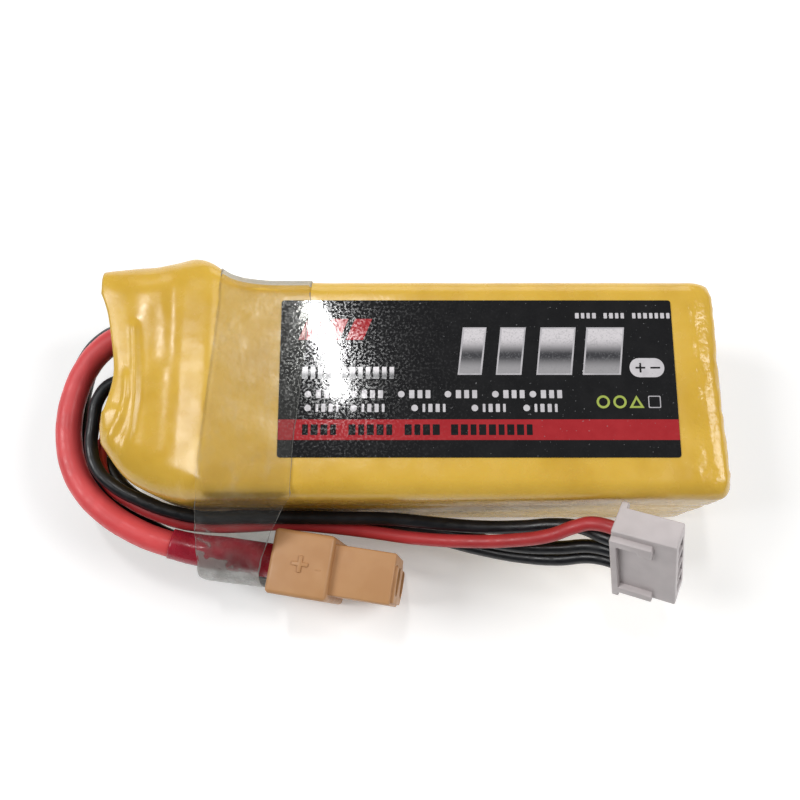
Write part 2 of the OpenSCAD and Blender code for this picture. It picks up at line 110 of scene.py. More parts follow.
WIRE_TAP_2 = [
    (-29.2, 2, 14.2), (-32, 2, 14.2), (-35, 3.1, 14.1), (-37.6, 3, 14),
    (-39.3, 0.9, 14), (-39.7, -2.4, 14), (-39.7, -5.6, 14), (-38.7, -8.4, 13.9),
    (-36.6, -10.4, 13.8), (-33.2, -12.2, 13.6), (-29.4, -13.6, 13.4), (-25.2, -14.4, 13.2),
    (-20, -14.3, 12.9), (-13.5, -14.3, 12.2), (-7, -14.3, 11.6), (-1, -14.4, 11.2),
    (5, -15, 11.3), (10.5, -15.5, 12.1), (15.5, -15.6, 13.4), (19.4, -15.5, 15),
    (22.4, -16, 16.5), (24.6, -17.2, 17.95), (27.8, -18.5, 19.4),
]
WIRE_TAP_1 = [
    (-29.2, 2, 9.8), (-32, 2, 9.8), (-35, 2.8, 9.8), (-37.4, 2.4, 9.8),
    (-39, 0.2, 9.8), (-39.3, -2.8, 9.8), (-39.1, -5.8, 9.7), (-37.9, -8.5, 9.6),
    (-35.7, -10.7, 9.4), (-32.4, -12.4, 9.2), (-28.6, -13.9, 9), (-24.6, -14.3, 8.8),
    (-20, -14.2, 8.4), (-13.5, -14.2, 7.8), (-7, -14.3, 7.4), (-1, -14.7, 7.4),
    (5, -15.6, 8), (10.5, -16.9, 9.4), (15.5, -17.9, 11.2), (20, -18.2, 13.4),
    (23.9, -18.2, 15.4), (28.3, -19.7, 17.3),
]
WIRE_NEGATIVE = [
    (-29.2, -1, 7.8), (-32, -1, 7.8), (-35, -1.6, 7.8), (-37.4, -3.2, 7.7),
    (-38.7, -5.8, 7.6), (-38, -8.5, 7.5), (-36, -10.6, 7.3), (-33, -12.3, 7),
    (-29.4, -13.7, 6.6), (-25, -14.4, 6), (-20, -14.4, 5.4), (-13.5, -14.3, 4.6),
    (-7, -14.5, 4.2), (-1, -15.2, 4.4), (5, -16.4, 5.2), (10.5, -17.9, 6.8),
    (15.5, -19, 8.8), (20, -19.5, 11), (24.4, -19.4, 13.3), (28.8, -20.9, 15.15),
]


# ---- Small maths ----

def clamp(value):
    return max(0.0, min(1.0, value))


def step(value, start, end):
    """0 before start, 1 after end, and a smooth rise between."""
    t = clamp((value - start) / (end - start))
    return t * t * (3 - 2 * t)


def hump(value, width):
    """1 where the value is 0, falling away on both sides over about that width."""
    return math.exp(-((value / width) ** 2))


def rough(x, y, z, size, seed=0.0):
    """Smooth noise from about -1 to 1 whose lumps are about that size."""
    return noise.noise(Vector((x / size + seed, y / size - seed, z / size + 2 * seed)))


def through(points, parts, closed=False):
    """Points on a smooth curve through the given ones, with that many steps between two of them."""
    points = [Vector(p) for p in points]
    count = len(points)
    last = count if closed else count - 1
    out = []
    for i in range(last):
        a, b = points[i], points[(i + 1) % count]
        before = points[(i - 1) % count] if closed or i > 0 else 2 * a - b
        after = points[(i + 2) % count] if closed or i + 2 < count else 2 * b - a
        for k in range(parts):
            t = k / parts
            out.append(0.5 * (2 * a + (b - before) * t + (2 * before - 5 * a + 4 * b - after) * t * t
                              + (3 * a - before - 3 * b + after) * t * t * t))
    if not closed:
        out.append(points[-1])
    return out


# ---- Material nodes ----

class Surface:
    """A material around one Principled shader, with short calls for the nodes these materials share."""

    def __init__(self, name, roughness=0.4, specular=0.5, metallic=0.0, coat=0.0):
        self.material = bpy.data.materials.new(name)
        self.material.use_nodes = True
        self.tree = self.material.node_tree
        self.tree.nodes.clear()
        self.output = self.add("ShaderNodeOutputMaterial")
        self.shader = self.add("ShaderNodeBsdfPrincipled")
        self.link(self.shader.outputs[0], self.output.inputs["Surface"])
        settings = {
            "Roughness": roughness, "Specular IOR Level": specular, "Metallic": metallic,
            "Coat Weight": coat, "Coat Roughness": 0.05,
        }
        for socket, value in settings.items():
            self.shader.inputs[socket].default_value = value
        coordinates = self.add("ShaderNodeTexCoord")
        millimetres = self.add("ShaderNodeVectorMath", operation="SCALE")
        millimetres.inputs["Scale"].default_value = 1 / MM
        self.link(coordinates.outputs["Object"], millimetres.inputs[0])
        self.place = millimetres.outputs[0]

    def add(self, kind, **settings):
        node = self.tree.nodes.new(kind)
        for name, value in settings.items():
            setattr(node, name, value)
        return node

    def link(self, source, target):
        self.tree.links.new(source, target)

    def feed(self, target, source):
        """Sets a socket to a number or colour, or links it."""
        if isinstance(source, bpy.types.NodeSocket):
            self.link(source, target)
        elif isinstance(source, tuple) and len(source) == 3 and target.type == "RGBA":
            target.default_value = (*source, 1)
        else:
            target.default_value = source

    def noise(self, size, detail=2.0, stretch=(1, 1, 1)):
        """Noise from 0 to 1 whose lumps are about that size, longer along an axis by its stretch."""
        scaled = self.add("ShaderNodeVectorMath", operation="DIVIDE")
        self.link(self.place, scaled.inputs[0])
        scaled.inputs[1].default_value = [size * s for s in stretch]
        texture = self.add("ShaderNodeTexNoise")
        texture.inputs["Scale"].default_value = 1
        texture.inputs["Detail"].default_value = detail
        self.link(scaled.outputs[0], texture.inputs["Vector"])
        return texture.outputs["Fac"]

    def axis(self, name):
        """The X, Y or Z of the place, in millimetres."""
        parts = self.add("ShaderNodeSeparateXYZ")
        self.link(self.place, parts.inputs[0])
        return parts.outputs[name]

    def ramp(self, value, start, end, low=0.0, high=1.0):
        """Low where the value is at start, high where it is at end, and smooth between."""
        node = self.add("ShaderNodeMapRange", interpolation_type="SMOOTHSTEP")
        self.feed(node.inputs["Value"], value)
        for socket, number in zip(("From Min", "From Max", "To Min", "To Max"), (start, end, low, high)):
            node.inputs[socket].default_value = number
        return node.outputs[0]

    def math(self, operation, a, b=0.0):
        node = self.add("ShaderNodeMath", operation=operation)
        self.feed(node.inputs[0], a)
        self.feed(node.inputs[1], b)
        return node.outputs[0]

    def mix(self, a, b, share):
        """Colour a, turning into b as the share goes from 0 to 1."""
        node = self.add("ShaderNodeMix", data_type="RGBA")
        self.feed(node.inputs[0], share)
        self.feed(node.inputs[6], a)
        self.feed(node.inputs[7], b)
        return node.outputs[2]

    def bump(self, *layers):
        """Adds relief, each layer a height from 0 to 1 and its depth in millimetres."""
        normal = None
        for height, depth in layers:
            node = self.add("ShaderNodeBump")
            node.inputs["Distance"].default_value = depth * MM
            self.feed(node.inputs["Height"], height)
            if normal:
                self.link(normal, node.inputs["Normal"])
            normal = node.outputs[0]
        self.link(normal, self.shader.inputs["Normal"])

    def colour(self, source):
        self.feed(self.shader.inputs["Base Color"], source)

    def roughness(self, source):
        self.feed(self.shader.inputs["Roughness"], source)


def mottled(surface, main, other, size, share=(0.35, 0.65)):
    """The main colour with soft patches of the other."""
    surface.colour(surface.mix(main, other, surface.ramp(surface.noise(size), *share)))


def moulded(name, main, other, roughness):
    """Moulded plastic: faint flow marks, and a fine spark-eroded grain."""
    s = Surface(name, roughness)
    mottled(s, main, other, 3.5)
    s.roughness(s.ramp(s.noise(1.2, 3), 0.3, 0.7, roughness - 0.06, roughness + 0.08))
    s.bump((s.noise(0.12, 2), 0.004), (s.noise(2.2, 2), 0.02))
    return s.material


def silicone(name, main, other, roughness):
    """Soft extruded insulation with dust in its gloss and faint long waves."""
    s = Surface(name, roughness, specular=0.45)
    mottled(s, main, other, 4.0)
    s.roughness(s.ramp(s.noise(0.9, 4), 0.35, 0.7, roughness - 0.08, roughness + 0.12))
    s.bump((s.noise(0.25, 3), 0.006), (s.noise(2.5, 1), 0.03))
    return s.material


def metal(name, colour, roughness, grain=(1, 1, 1)):
    """Drawn or plated metal with tarnish in patches and a fine grain, longer along an axis by the grain."""
    s = Surface(name, roughness, metallic=1.0)
    s.colour(s.mix(colour, tuple(0.78 * c for c in colour), s.ramp(s.noise(0.8, 4), 0.4, 0.75)))
    s.roughness(s.ramp(s.noise(0.5, 3), 0.3, 0.7, roughness - 0.06, roughness + 0.1))
    s.bump((s.noise(0.2, 3, grain), 0.006))
    return s.material


YELLOW = (0.70, 0.440, 0.062)
YELLOW_DEEP = (0.62, 0.375, 0.045)


def label_layers(s):
    """Relief of the gloss film over the label and its print: a fine orange peel and slow waves."""
    return [(s.noise(0.24, 1), 0.0014), (s.noise(0.9, 2), 0.003), (s.noise(6.0, 1), 0.02)]


def wrap_film():
    """Glossy PVC film, shinier and finely crackled at the shrunk end."""
    s = Surface("wrap_film", 0.26, specular=0.5)
    base = s.mix(YELLOW, YELLOW_DEEP, s.ramp(s.noise(6.0, 3), 0.35, 0.75))
    dust = s.ramp(s.noise(0.3, 1), 0.77, 0.82, 0.0, 0.35)
    s.colour(s.mix(base, (0.32, 0.22, 0.08), dust))
    rim = s.ramp(s.axis("X"), CLOSED_X - 5.0, CLOSED_X - 3.0)
    satin = s.ramp(s.noise(2.5, 4), 0.3, 0.75, 0.19, 0.32)
    s.roughness(s.math("SUBTRACT", satin, s.math("MULTIPLY", rim, 0.09)))
    crackle = s.math("MULTIPLY", s.noise(0.6, 4), rim)
    s.shader.inputs["Subsurface Weight"].default_value = 0.12
    s.shader.inputs["Subsurface Radius"].default_value = (1.0, 0.7, 0.2)
    s.shader.inputs["Subsurface Scale"].default_value = 0.4 * MM
    s.bump((crackle, 0.07), (s.noise(0.35, 2), 0.003), (s.noise(4.0, 3), 0.07))
    return s.material


def print_ink(name, main, other, roughness=0.11):
    """Ink under the label's gloss film, with the film's own relief and a little dust."""
    s = Surface(name, roughness, specular=0.45)
    dust = s.ramp(s.noise(0.28, 1), 0.74, 0.80, 0.0, 0.5)
    base = s.mix(main, other, s.ramp(s.noise(1.6, 3), 0.3, 0.8))
    s.colour(s.mix(base, (0.30, 0.30, 0.31), dust))
    s.roughness(s.ramp(s.noise(0.3, 3), 0.42, 0.66, roughness - 0.06, roughness + 0.07))
    s.bump(*label_layers(s))
    return s.material


def silver_ink(name, top, bottom):
    """Brushed silver that darkens to the middle of each mark, from its top edge to its bottom edge in Y."""
    s = Surface(name, 0.18, specular=0.5)
    place = s.ramp(s.axis("Y"), top, bottom)
    fall = s.mix((0.66, 0.63, 0.65), (0.045, 0.045, 0.05), s.ramp(place, 0.1, 0.62))
    rise = s.mix(fall, (0.34, 0.33, 0.34), s.ramp(place, 0.66, 1.0))
    s.colour(s.mix(rise, (0.22, 0.22, 0.23), s.ramp(s.noise(0.18, 2), 0.45, 0.8, 0.0, 0.5)))
    s.bump(*label_layers(s))
    return s.material


def clear_tape_film():
    """Clear film that hazes where it is creased."""
    s = Surface("clear_tape_film", 0.16, specular=0.5)
    s.colour(s.mix((0.74, 0.74, 0.72), (0.58, 0.58, 0.56), s.noise(3.0, 3)))
    s.roughness(s.ramp(s.noise(1.8, 4), 0.3, 0.7, 0.14, 0.34))
    s.bump((s.noise(1.8, 2, (0.8, 2.2, 1)), 0.03), (s.noise(6.0, 2), 0.1))
    clear = s.add("ShaderNodeBsdfTransparent")
    clear.inputs[0].default_value = (0.988, 0.99, 0.98, 1)
    flat = s.ramp(s.noise(1.6, 4, (1, 1.8, 1)), 0.5, 0.8, 0.02, 0.07)
    creased = s.ramp(s.noise(1.3, 3), 0.35, 0.65, 0.22, 0.5)
    at_lip = s.ramp(s.axis("Y"), -20.6, -21.6)
    haze = s.math("ADD", flat, s.math("MULTIPLY", creased, at_lip))
    gloss = s.add("ShaderNodeLayerWeight")
    gloss.inputs["Blend"].default_value = 0.25
    edge = s.math("MULTIPLY", gloss.outputs["Fresnel"], 0.8)
    blend = s.add("ShaderNodeMixShader")
    s.link(s.math("MAXIMUM", haze, edge), blend.inputs[0])
    s.link(clear.outputs[0], blend.inputs[1])
    s.link(s.shader.outputs[0], blend.inputs[2])
    s.link(blend.outputs[0], s.output.inputs["Surface"])
    return s.material


def solder_mask():
    """Green lacquer over the weave of the board."""
    s = Surface("board_mask", 0.3, coat=0.4)
    mottled(s, (0.03, 0.16, 0.06), (0.02, 0.11, 0.045), 1.2)
    s.bump((s.noise(0.15, 3, (1, 1, 4)), 0.008))
    return s.material


def fibre(name, main, other, stretch):
    """Pressed paper or felt with long fibres."""
    s = Surface(name, 0.85, specular=0.2)
    s.colour(s.mix(main, other, s.noise(0.25, 5, stretch)))
    s.bump((s.noise(0.12, 5, stretch), 0.05))
    return s.material


def amber_tape():
    """Polyimide tape, mottled where glue shows through."""
    s = Surface("amber_tape", 0.2, coat=0.5)
    mottled(s, (0.55, 0.24, 0.03), (0.42, 0.17, 0.02), 2.5)
    s.bump((s.noise(1.5, 3, (3, 1, 1)), 0.03))
    return s.material


def foil_pouch():
    """Aluminium laminate with the soft dents of a pouch cell."""
    s = Surface("foil_pouch", 0.35, metallic=0.9)
    mottled(s, (0.66, 0.67, 0.69), (0.55, 0.56, 0.58), 4.0)
    s.roughness(s.ramp(s.noise(0.6, 4), 0.3, 0.7, 0.28, 0.5))
    s.bump((s.noise(1.4, 4), 0.08), (s.noise(6.0, 2), 0.2))
    return s.material


def electrode_layers():
    """Thin coated foils, stacked in Z."""
    s = Surface("electrode_layers", 0.6, metallic=0.3)
    foils = s.noise(0.16, 2, (60, 60, 1))
    s.colour(s.mix((0.05, 0.05, 0.055), (0.30, 0.17, 0.10), s.ramp(foils, 0.45, 0.6)))
    s.bump((foils, 0.05))
    return s.material


TAN = moulded("tan_nylon", (0.52, 0.275, 0.120), (0.487, 0.248, 0.103), 0.48)
WHITE_NYLON = moulded("white_nylon", (0.55, 0.50, 0.50), (0.50, 0.455, 0.455), 0.42)
RED_SILICONE = silicone("red_silicone", (0.76, 0.085, 0.09), (0.67, 0.07, 0.075), 0.42)
BLACK_SILICONE = silicone("black_silicone", (0.008, 0.009, 0.012), (0.013, 0.014, 0.018), 0.40)
RED_WIRE = silicone("red_wire", (0.46, 0.036, 0.040), (0.40, 0.030, 0.034), 0.42)
BLACK_WIRE = silicone("black_wire", (0.006, 0.007, 0.009), (0.010, 0.011, 0.014), 0.36)
RED_SLEEVE = silicone("red_sleeve", (0.42, 0.020, 0.042), (0.35, 0.016, 0.034), 0.26)
BLACK_SLEEVE = silicone("black_sleeve", (0.010, 0.010, 0.012), (0.014, 0.014, 0.016), 0.28)
SOLDER = metal("solder", (0.72, 0.73, 0.75), 0.28)
GOLD = metal("gold_plate", (0.83, 0.60, 0.24), 0.24, (4, 1, 1))
TIN = metal("tin_plate", (0.70, 0.70, 0.72), 0.32, (4, 1, 1))


# ---- Mesh helpers ----

def make_object(name, mesh, *materials, smooth=35):
    """Puts a mesh in the scene and shades it smooth, with edges sharper than smooth degrees kept."""
    obj = bpy.data.objects.new(name, mesh)
    bpy.context.scene.collection.objects.link(obj)
    for material in materials:
        mesh.materials.append(material)
    mesh.shade_smooth()
    mesh.set_sharp_from_angle(angle=math.radians(smooth))
    return obj


def mesh_from(bm, name):
    """Turns a bmesh in millimetres into a mesh in metres."""
    bmesh.ops.scale(bm, vec=(MM, MM, MM), verts=bm.verts)
    bmesh.ops.recalc_face_normals(bm, faces=bm.faces)
    mesh = bpy.data.meshes.new(name)
    bm.to_mesh(mesh)
    bm.free()
    return mesh


def finished(obj):
    """Gives obj the mesh that its modifiers make, with no modifiers left."""
    shown = obj.evaluated_get(bpy.context.evaluated_depsgraph_get())
    mesh = bpy.data.meshes.new_from_object(shown)
    obj.modifiers.clear()
    obj.data = mesh
    return obj


def loft(rings):
    """A bmesh of quads through closed rings of points, each ring with the same count."""
    bm = bmesh.new()
    rows = [[bm.verts.new(p) for p in ring] for ring in rings]
    count = len(rows[0])
    for a, b in zip(rows, rows[1:]):
        for k in range(count):
            m = (k + 1) % count
            bm.faces.new((a[k], a[m], b[m], b[k]))
    return bm, rows


def thicken(obj, thickness):
    """Makes a sheet a closed shell, into the back of its faces."""
    modifier = obj.modifiers.new("thickness", "SOLIDIFY")
    modifier.thickness = thickness * MM
    modifier.offset = -1
    modifier.use_even_offset = False
    return finished(obj)


def rounded_box(low, high, radius, segments=3):
    """A box with every edge rounded."""
    bm = bmesh.new()
    bmesh.ops.create_cube(bm, size=1)
    low, high = Vector(low), Vector(high)
    for vert in bm.verts:
        vert.co = Vector([low[i] + (vert.co[i] + 0.5) * (high[i] - low[i]) for i in range(3)])
    bmesh.ops.bevel(bm, geom=bm.edges[:], offset=radius, segments=segments, profile=0.5, affect="EDGES")
    return bm


def rounded_prism(outline, x0, x1, radius, segments=3):
    """An outline of (y, z) points drawn out along X, with every edge rounded."""
    bm = bmesh.new()
    ends = [[bm.verts.new((x, y, z)) for y, z in outline] for x in (x0, x1)]
    bm.faces.new(ends[0])
    bm.faces.new(ends[1][::-1])
    for k in range(len(outline)):
        m = (k + 1) % len(outline)
        bm.faces.new((ends[0][k], ends[1][k], ends[1][m], ends[0][m]))
    bmesh.ops.bevel(bm, geom=bm.edges[:], offset=radius, segments=segments, profile=0.5, affect="EDGES")
    return bm


def rod(x0, x1, y, z, diameter):
    """A plain cylinder along X, used to cut holes."""
    bm = bmesh.new()
    radius = diameter / 2
    bmesh.ops.create_cone(bm, cap_ends=True, segments=48, radius1=radius, radius2=radius, depth=x1 - x0)
    turn = Matrix.Rotation(math.radians(90), 4, "Y")
    bmesh.ops.transform(bm, matrix=Matrix.Translation(((x0 + x1) / 2, y, z)) @ turn, verts=bm.verts)
    return bm


def combined(name, added, cut, material, place):
    """One closed piece from solids joined together, less the ones cut away, put in place."""
    scratch = []
    for k, bm in enumerate(added + cut):
        scratch.append(make_object(f"scratch_{name}_{k}", mesh_from(bm, f"{name}_{k}"), material))
    obj = scratch[0]
    for k, other in enumerate(scratch[1:], start=1):
        modifier = obj.modifiers.new(f"step_{k}", "BOOLEAN")
        modifier.operation = "UNION" if k < len(added) else "DIFFERENCE"
        modifier.solver = "EXACT"
        modifier.object = other
    finished(obj)
    for other in scratch[1:]:
        bpy.data.objects.remove(other)
    obj.name = name
    obj.data.name = name
    obj.data.transform(place)
    obj.data.shade_smooth()
    obj.data.set_sharp_from_angle(angle=math.radians(35))
    return obj


def placed(origin, along, up):
    """The transform of a piece whose X is along and whose Z is up, at an origin in millimetres."""
    along = Vector(along).normalized()
    across = Vector(up).cross(along).normalized()
    above = along.cross(across)
    turn = Matrix((along, across, above)).transposed().to_4x4()
    return Matrix.Translation(Vector(origin) * MM) @ turn


# ---- Camera and lights ----

LENS = 40.5              # focal length for a sensor 36 mm wide
CAMERA_AT = (0, -26.6, 128)
CAMERA_TILT = 13.5       # degrees away from straight down


def add_camera():
    data = bpy.data.cameras.new("camera")
    data.lens = LENS
    data.sensor_width = 36
    data.clip_start = 0.005
    camera = bpy.data.objects.new("camera", data)
    camera.location = Vector(CAMERA_AT) * MM
    camera.rotation_euler = (math.radians(CAMERA_TILT), 0, 0)
    bpy.context.scene.collection.objects.link(camera)
    bpy.context.scene.camera = camera


LIGHT_TARGET = (0, 0, 10)


def add_area_light(name, place, size, watts):
    """A rectangular light aimed at the pack."""
    data = bpy.data.lights.new(name, "AREA")
    data.shape = "RECTANGLE"
    data.size = size[0] * MM
    data.size_y = size[1] * MM
    data.energy = watts
    light = bpy.data.objects.new(name, data)
    light.location = Vector(place) * MM
    light.rotation_euler = (Vector(LIGHT_TARGET) - Vector(place)).to_track_quat("-Z", "Y").to_euler()
    bpy.context.scene.collection.objects.link(light)


def add_lights():
    """A narrow key, whose reflection is the glare on the label, and broad fills all round."""
    add_area_light("key", (-49, 150, 500), (10, 70), 0.33)
    add_area_light("left_fill", (-430, 40, 480), (260, 300), 2.2)
    add_area_light("right_fill", (430, 40, 480), (260, 300), 1.95)
    add_area_light("front_fill", (0, -560, 300), (420, 420), 0.05)
    add_area_light("back_fill", (60, 560, 260), (380, 380), 0.95)
    world = bpy.data.worlds.new("studio")
    world.use_nodes = True
    background = world.node_tree.nodes["Background"]
    background.inputs["Color"].default_value = (1, 1, 1, 1)
    background.inputs["Strength"].default_value = 0.11
    bpy.context.scene.world = world
    bpy.context.scene.view_settings.view_transform = "Standard"


def add_floor():
    """White paper that glows a little, so that it stays white under soft light."""
    bm = bmesh.new()
    bmesh.ops.create_grid(bm, x_segments=1, y_segments=1, size=900)
    s = Surface("floor_paper", 0.9, specular=0.1)
    s.colour(s.mix((0.94, 0.94, 0.94), (0.92, 0.92, 0.92), s.noise(40.0, 2)))
    s.shader.inputs["Emission Color"].default_value = (1, 1, 1, 1)
    s.shader.inputs["Emission Strength"].default_value = 0.22
    s.bump((s.noise(0.4, 2), 0.005))
    floor = make_object("floor", mesh_from(bm, "floor"), s.material)


add_camera()
add_lights()
add_floor()


# ---- Cords ----


def add_cord(name, route, diameter, material):
    """A round cord as a curve through its route."""
    data = bpy.data.curves.new(name, "CURVE")
    data.dimensions = "3D"
    data.bevel_depth = diameter / 2 * MM
    data.bevel_resolution = 7
    data.resolution_u = 8
    data.use_fill_caps = True
    spline = data.splines.new("BEZIER")
    spline.bezier_points.add(len(route) - 1)
    for knot, point in zip(spline.bezier_points, route):
        knot.co = Vector(point) * MM
        knot.handle_left_type = "AUTO"
        knot.handle_right_type = "AUTO"
    data.materials.append(material)
    obj = bpy.data.objects.new(name, data)
    bpy.context.scene.collection.objects.link(obj)
    return obj


SLEEVE_R = 1.93          # radius where the sleeve grips the lead
SLEEVE_SWELL = 0.25      # how much fuller it is over the solder cup
SLEEVE_WALL = 0.22


def add_sleeve(name, route, material):
    """Heat-shrink sleeve: tight on the lead, fuller over the solder cup, with a thin wall."""
    path = through(route, 10)
    sides = 40
    outer = []
    for i, point in enumerate(path):
        share = i / (len(path) - 1)
        along = (path[min(i + 1, len(path) - 1)] - path[max(i - 1, 0)]).normalized()
        across = along.cross(Vector((0, 0, 1))).normalized()
        up = across.cross(along)
        radius = SLEEVE_R + SLEEVE_SWELL * step(share, 0.05, 0.62)
        ring = []
        for k in range(sides):
            a = 2 * math.pi * k / sides
            outward = math.cos(a) * across + math.sin(a) * up
            place = point + radius * outward
            lump = 0.05 * rough(*place, 2.6, 3.0) + 0.02 * rough(*place, 0.9, 7.0)
            ring.append(point + (radius + lump) * outward)
        outer.append(ring)
    bm, _ = loft(outer)
    obj = make_object(name, mesh_from(bm, name), material, smooth=60)
    return thicken(obj, SLEEVE_WALL)


# ---- Shrink wrap ----

GROOVE = 0.12            # depth of the tape's groove in the underside
REST = 0.02              # height of the rest of the underside above the table
MOUTH_X = -36.8
TIGHT_X = -31.0          # from here to the mouth, the rings bend to its cut edge
STRAIGHT_X = -15.0       # the flare ends here
END_ROUND = 1.9          # radius of the closed end's edge
WRAP_T = 0.24            # thickness of the film

# Sections of the wrap: x, front y, back y, low z, high z, corner radius
WRAP = [
    (MOUTH_X, -4.8, 15.9, 1.6, BODY_TOP - 0.5, 2.4),
    (-35.6, -7.0, 16.3, 1.2, BODY_TOP - 0.2, 3.4),
    (-33.4, -10.2, 16.8, 0.7, BODY_TOP, 4.4),
    (TIGHT_X, -11.8, 17.3, 0.3, BODY_TOP - 0.2, 5.0),
    (-28.6, -12.7, 18.1, 0.1, BODY_TOP - 0.75, 5.0),
    (-26.8, -13.1, 18.4, REST, BODY_TOP - 0.75, 4.5),
    (-26.0, FRONT_Y, 18.2, GROOVE, BODY_TOP - 0.55, 4.0),
    (-24.8, FRONT_Y, 17.7, GROOVE, BODY_TOP - 0.2, 3.4),
    (-23.6, FRONT_Y, 16.9, GROOVE, BODY_TOP, 2.6),
    (-22.6, FRONT_Y, 16.1, GROOVE, BODY_TOP, 2.1),
    (-21.0, FRONT_Y, 15.1, GROOVE, BODY_TOP, 2.0),
    (-18.8, FRONT_Y, 14.5, GROOVE, BODY_TOP, 2.0),
    (STRAIGHT_X, FRONT_Y, BACK_Y, GROOVE, BODY_TOP, 2.0),
    (-10.6, FRONT_Y, BACK_Y, GROOVE, BODY_TOP, 2.0),
    (-10.2, FRONT_Y, BACK_Y, REST, BODY_TOP, 2.2),
    (CLOSED_X, FRONT_Y, BACK_Y, REST, BODY_TOP, 2.2),
]


def wrap_section(x):
    """The wrap's section at x, smooth in the flare and straight along the body."""
    row = 0
    while row < len(WRAP) - 2 and x > WRAP[row + 1][0]:
        row += 1
    a, b = WRAP[row], WRAP[row + 1]
    t = clamp((x - a[0]) / (b[0] - a[0]))
    if a[0] >= STRAIGHT_X:
        return [p + (q - p) * t for p, q in zip(a[1:], b[1:])]
    before, after = WRAP[max(row - 1, 0)], WRAP[row + 2]
    width = b[0] - a[0]
    out = []
    for k in range(1, 6):
        slope_a = (b[k] - before[k]) / (b[0] - before[0])
        slope_b = (after[k] - a[k]) / (after[0] - a[0]) if b[0] < STRAIGHT_X else 0.0
        out.append(a[k] + (b[k] - a[k]) * t * t * (3 - 2 * t)
                   + width * (slope_a * t * (1 - t) ** 2 - slope_b * t * t * (1 - t)))
    return out


def section_ring(front, back, low, high, radius):
    """Points (y, z) round a rounded rectangle, the same count for every section."""
    across, down, arc = 40, 30, 8
    corners = [(back - radius, high - radius, 0), (front + radius, high - radius, 90),
               (front + radius, low + radius, 180), (back - radius, low + radius, 270)]
    corner_points = []
    for y, z, start in corners:
        arc_points = []
        for i in range(arc + 1):
            a = math.radians(start + 90 * i / arc)
            arc_points.append(Vector((y + radius * math.cos(a), z + radius * math.sin(a))))
        corner_points.append(arc_points)
    ring = []
    for k, steps in enumerate((across, down, across, down)):
        ring += corner_points[k]
        start = corner_points[k][-1]
        end = corner_points[(k + 1) % 4][0]
        ring += [start.lerp(end, i / steps) for i in range(1, steps)]
    return ring


def inset_ring(section, inset, radius):
    """The section's outline pulled in on every side."""
    front, back, low, high, _ = section
    return section_ring(front + inset, back - inset, low + inset, high - inset, radius)


def cut_edge_x(y, z):
    """Where the mouth is cut: hollowed along the top and, less, along the bottom."""
    hollow = 1 - ((y - 3.0) / 9.3) ** 2
    depth = 2.3 * step(z, 12, 21) + 1.4 * (1 - step(z, 3, 11))
    return -37.2 + depth * max(hollow, 0) + 0.25 * rough(0, y, z, 5, 4.0)


# Folds in the mouth's film: points along the fold seen from above, its half width and its height
MOUTH_FOLDS = [
    ([(-32.6, 8.0), (-32.2, 4.0), (-31.9, -1.0), (-32.2, -5.0), (-33.0, -7.4)], 0.5, 0.30),
    ([(-33.0, 1.5), (-32.9, -1.0), (-33.4, -3.4), (-35.0, -6.4)], 0.45, 0.26),
    ([(-36.0, -3.0), (-34.4, -2.6), (-33.2, -3.2)], 0.4, 0.16),
    ([(-29.6, 14.0), (-29.0, 9.0), (-28.8, 4.0)], 0.9, 0.12),
]


def fold_height(x, y):
    """Height of the mouth's folds above the smooth film."""
    total = 0.0
    here = Vector((x, y))
    for points, width, height in MOUTH_FOLDS:
        nearest = 1e9
        for a, b in zip(points, points[1:]):
            a, b = Vector(a), Vector(b)
            t = clamp((here - a).dot(b - a) / (b - a).length_squared)
            nearest = min(nearest, (here - a.lerp(b, t)).length)
        total += height * hump(nearest, width)
    return total


def wrap_relief(place, normal):
    """How far the film stands off its smooth shape at a place, along its normal."""
    x, y, z = place
    under = step(-normal.z, 0.3, 0.8)
    top = step(normal.z, 0.4, 0.9)
    sides = 1 - step(abs(normal.z), 0.3, 0.7)
    waves = 0.05 * rough(x, y, z, 7.0) + 0.02 * rough(x, y, z, 2.2, 5.0)
    # the film sinks a little between the cells, and where the top rounds into the front
    cells = -0.10 * sides * (hump(z - 7.9, 0.9) + hump(z - 15.3, 0.9)) * step(x, -24, -20)
    shoulder = -0.18 * hump(y - FRONT_Y, 2.0) * hump(z - BODY_TOP, 2.0)
    # the shrunk end: fine pleats round the edge, a bead across the top and a crumpled front corner
    ridge_line = abs(rough(x * 0.6, y, z, 1.9, 9.0))
    pleats = 0.12 * step(x, CLOSED_X - 5.5, CLOSED_X) * (0.5 - min(ridge_line * 2.2, 1.0))
    bead = 0.16 * top * hump(x - (CLOSED_X - 2.5), 0.45) * (0.6 + rough(x, y, z, 2.4, 2.0))
    at_corner = hump(x - (CLOSED_X - 3.0), 1.2) * hump(y - FRONT_Y - 3.2, 1.7)
    corner = 0.28 * top * at_corner * rough(x, y, z, 0.9, 6.0)
    # the mouth: folds on the top, and slack film all round
    folds = top * fold_height(x, y) * (1 - step(x, -28, -25))
    slack = 0.12 * (1 - step(x, -34, -29)) * rough(x, y, z, 4.5, 8.0)
    return (1 - under) * (waves + cells + bead + corner + folds + shoulder) + pleats + slack


def end_lean(x, y, z):
    """How far the closed end leans: out at the front, and back elsewhere, but not into the pad."""
    lean = 0.045 * (0.5 - y) * step(x, 27, CLOSED_X - 2)
    inside = min(BODY_TOP - z, z, BACK_Y - y)
    over_pad = step(inside, 0.0, 0.8) * step(x, CLOSED_X - 1.6, CLOSED_X - 0.6)
    return lean if lean > 0 else lean * (1 - over_pad)


